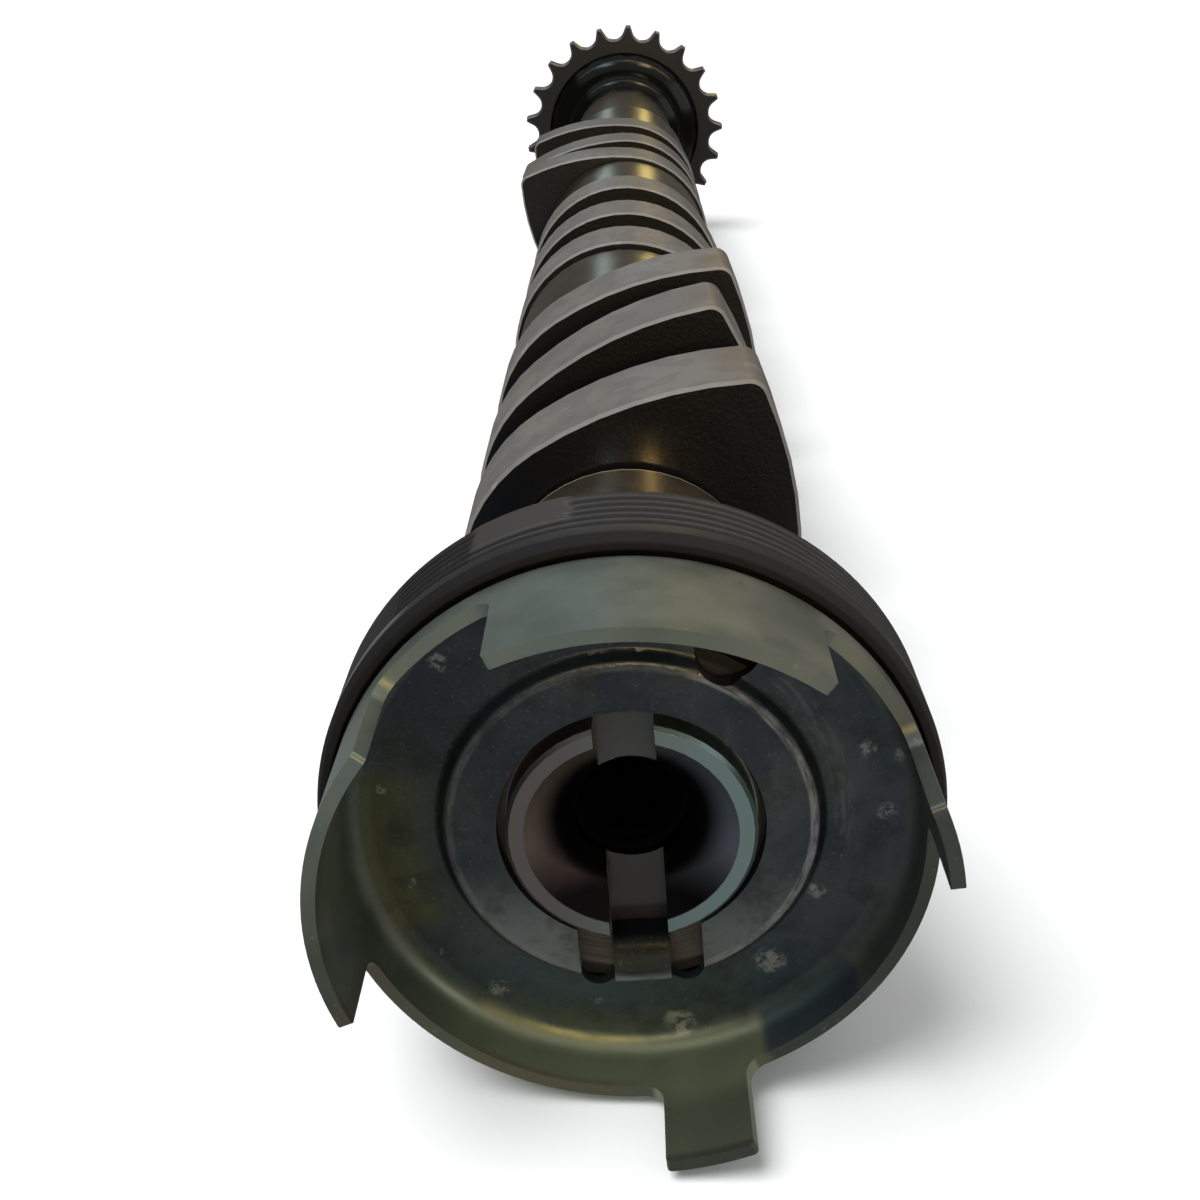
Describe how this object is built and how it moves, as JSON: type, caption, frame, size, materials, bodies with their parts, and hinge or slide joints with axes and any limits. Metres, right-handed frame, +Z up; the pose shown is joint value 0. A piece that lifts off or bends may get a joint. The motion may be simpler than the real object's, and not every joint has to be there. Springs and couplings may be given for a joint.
{
  "type": "camshaft",
  "caption": "Camshaft with ground lobes in groups, a chain sprocket at one end, and a ribbed shaft seal and a pressed cup trigger wheel with blades at the other.",
  "frame": {"origin": "on the shaft's axis in the front face of its spigot, at the mouth of the bolt bore", "axes": "+Y along the shaft from the trigger wheel towards the chain sprocket, +Z up with the key tab of the trigger wheel almost straight down, +X to the right seen from the trigger wheel"},
  "size_m": [0.0621, 0.4195, 0.062],
  "materials": {
    "shaft_steel": "phosphated and oiled, with ground lobes and journals",
    "plated_sheet": "zinc plated with an olive passivate",
    "seal_rubber": "moulded, matt",
    "spring_steel": "drawn wire"
  },
  "bodies": {
    "root": {"camshaft": "shaft_steel", "trigger_wheel": "plated_sheet", "shaft_seal": "seal_rubber", "seal_spring": "spring_steel"}
  },
  "joints": []
}
